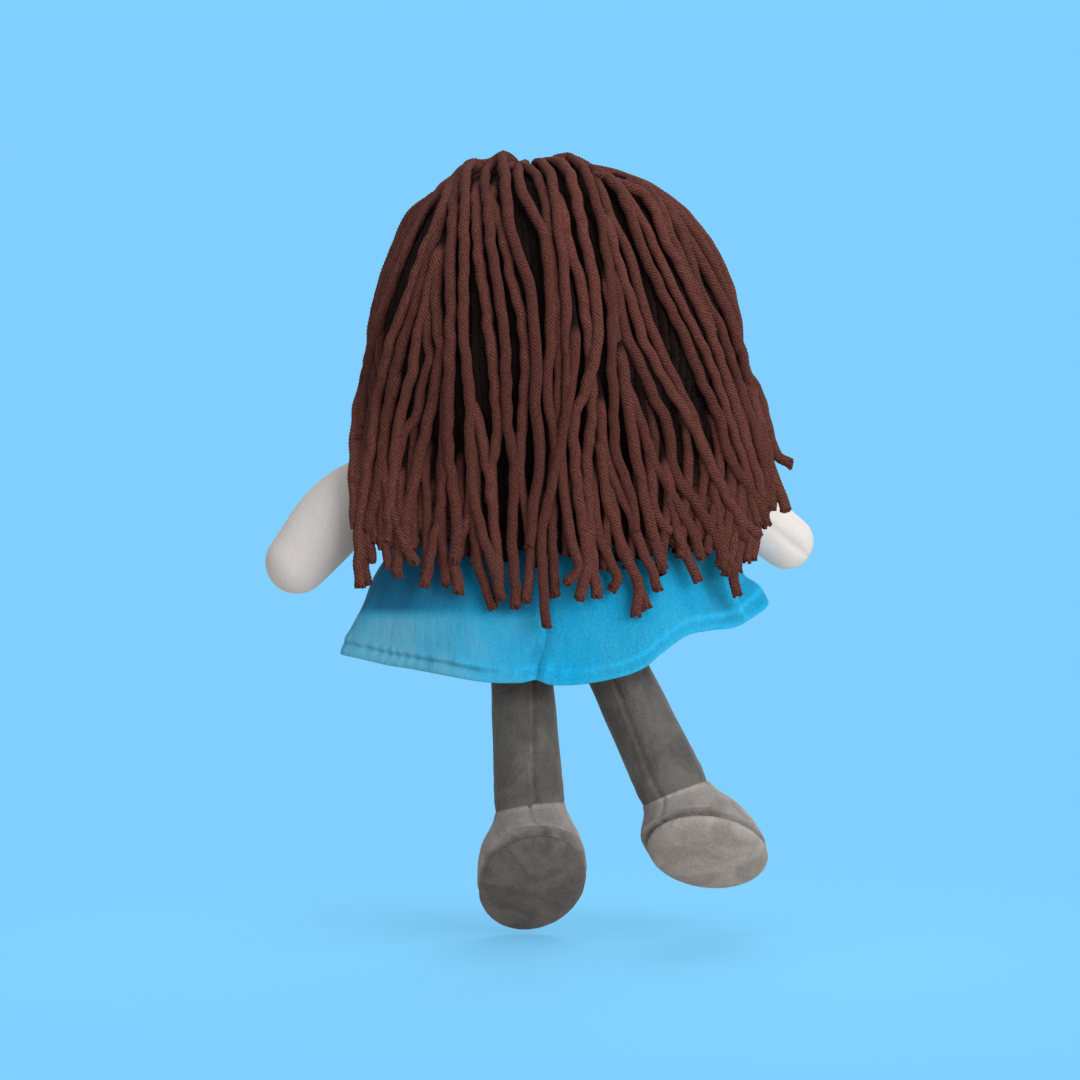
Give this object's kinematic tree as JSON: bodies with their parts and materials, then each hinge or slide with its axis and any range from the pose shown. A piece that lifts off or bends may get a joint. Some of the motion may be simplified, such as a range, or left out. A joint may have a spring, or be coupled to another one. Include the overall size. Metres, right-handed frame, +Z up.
{
  "type": "rag doll",
  "caption": "Stuffed rag doll with yarn hair, a plush A-line dress, plush stockings and soft shoes, with swinging arms and legs and a nodding head.",
  "frame": {"origin": "centre of the flat seat under the back of the torso, behind the legs", "axes": "+Z up through the head, -Y the way the face looks, +X to the doll's own left"},
  "size_m": [0.251, 0.1351, 0.3596],
  "materials": {
    "ivory_skin": "short smooth plush cloth, matt",
    "stuffing": "loose polyester fibre, matt",
    "dark_thread": "satin stitch embroidery, slight sheen",
    "red_thread": "satin stitch embroidery, slight sheen",
    "brown_yarn": "twisted chunky yarn, matt with fine fuzz",
    "tape": "woven cotton tape, matt",
    "blue_plush": "short plush pile, brushed two ways, matt",
    "dark_grey_plush": "short plush pile, matt",
    "light_grey_plush": "short plush pile, matt",
    "sole_plush": "short plush pile, matt"
  },
  "bodies": {
    "torso": {"torso_front_panel": "ivory_skin", "torso_back_panel": "ivory_skin", "torso_stuffing": "stuffing", "dress_front": "blue_plush", "dress_back_left": "blue_plush", "dress_back_right": "blue_plush"},
    "head": {"head_face_panel": "ivory_skin", "head_back_panel": "ivory_skin", "head_stuffing": "stuffing", "left_eye": "dark_thread", "right_eye": "dark_thread", "mouth": "red_thread", "hair_tape": "tape", "hair_back": "brown_yarn", "hair_left_lock": "brown_yarn", "hair_right_lock": "brown_yarn", "hair_fringe": "brown_yarn"},
    "left_arm": {"left_arm_skin": "ivory_skin", "left_arm_stuffing": "stuffing"},
    "right_arm": {"right_arm_skin": "ivory_skin", "right_arm_stuffing": "stuffing"},
    "left_leg": {"left_stocking": "dark_grey_plush", "left_leg_stuffing": "stuffing", "left_shoe_upper": "light_grey_plush", "left_shoe_sole": "sole_plush"},
    "right_leg": {"right_stocking": "dark_grey_plush", "right_leg_stuffing": "stuffing", "right_shoe_upper": "light_grey_plush", "right_shoe_sole": "sole_plush"}
  },
  "joints": [
    {"name": "neck_nod", "type": "hinge", "parent": "torso", "child": "head", "pos_m": [0, -0.0205, 0.095], "axis": [1, 0, 0], "range_deg": [-12, 22], "deforming": ["hair_back"]},
    {"name": "left_arm_swing", "type": "hinge", "parent": "torso", "child": "left_arm", "pos_m": [0.047, -0.0205, 0.07], "axis": [-1, 0, 0], "range_deg": [-25, 100]},
    {"name": "right_arm_swing", "type": "hinge", "parent": "torso", "child": "right_arm", "pos_m": [-0.047, -0.0205, 0.07], "axis": [-1, 0, 0], "range_deg": [-15, 75]},
    {"name": "left_hip_swing", "type": "hinge", "parent": "torso", "child": "left_leg", "pos_m": [0.017, -0.0285, 0.015], "axis": [-1, 0, 0], "range_deg": [-20, 95], "deforming": ["dress_front", "dress_back_left", "dress_back_right"]},
    {"name": "right_hip_swing", "type": "hinge", "parent": "torso", "child": "right_leg", "pos_m": [-0.017, -0.0285, 0.015], "axis": [-1, 0, 0], "range_deg": [-20, 95], "deforming": ["dress_front", "dress_back_left", "dress_back_right"]}
  ]
}
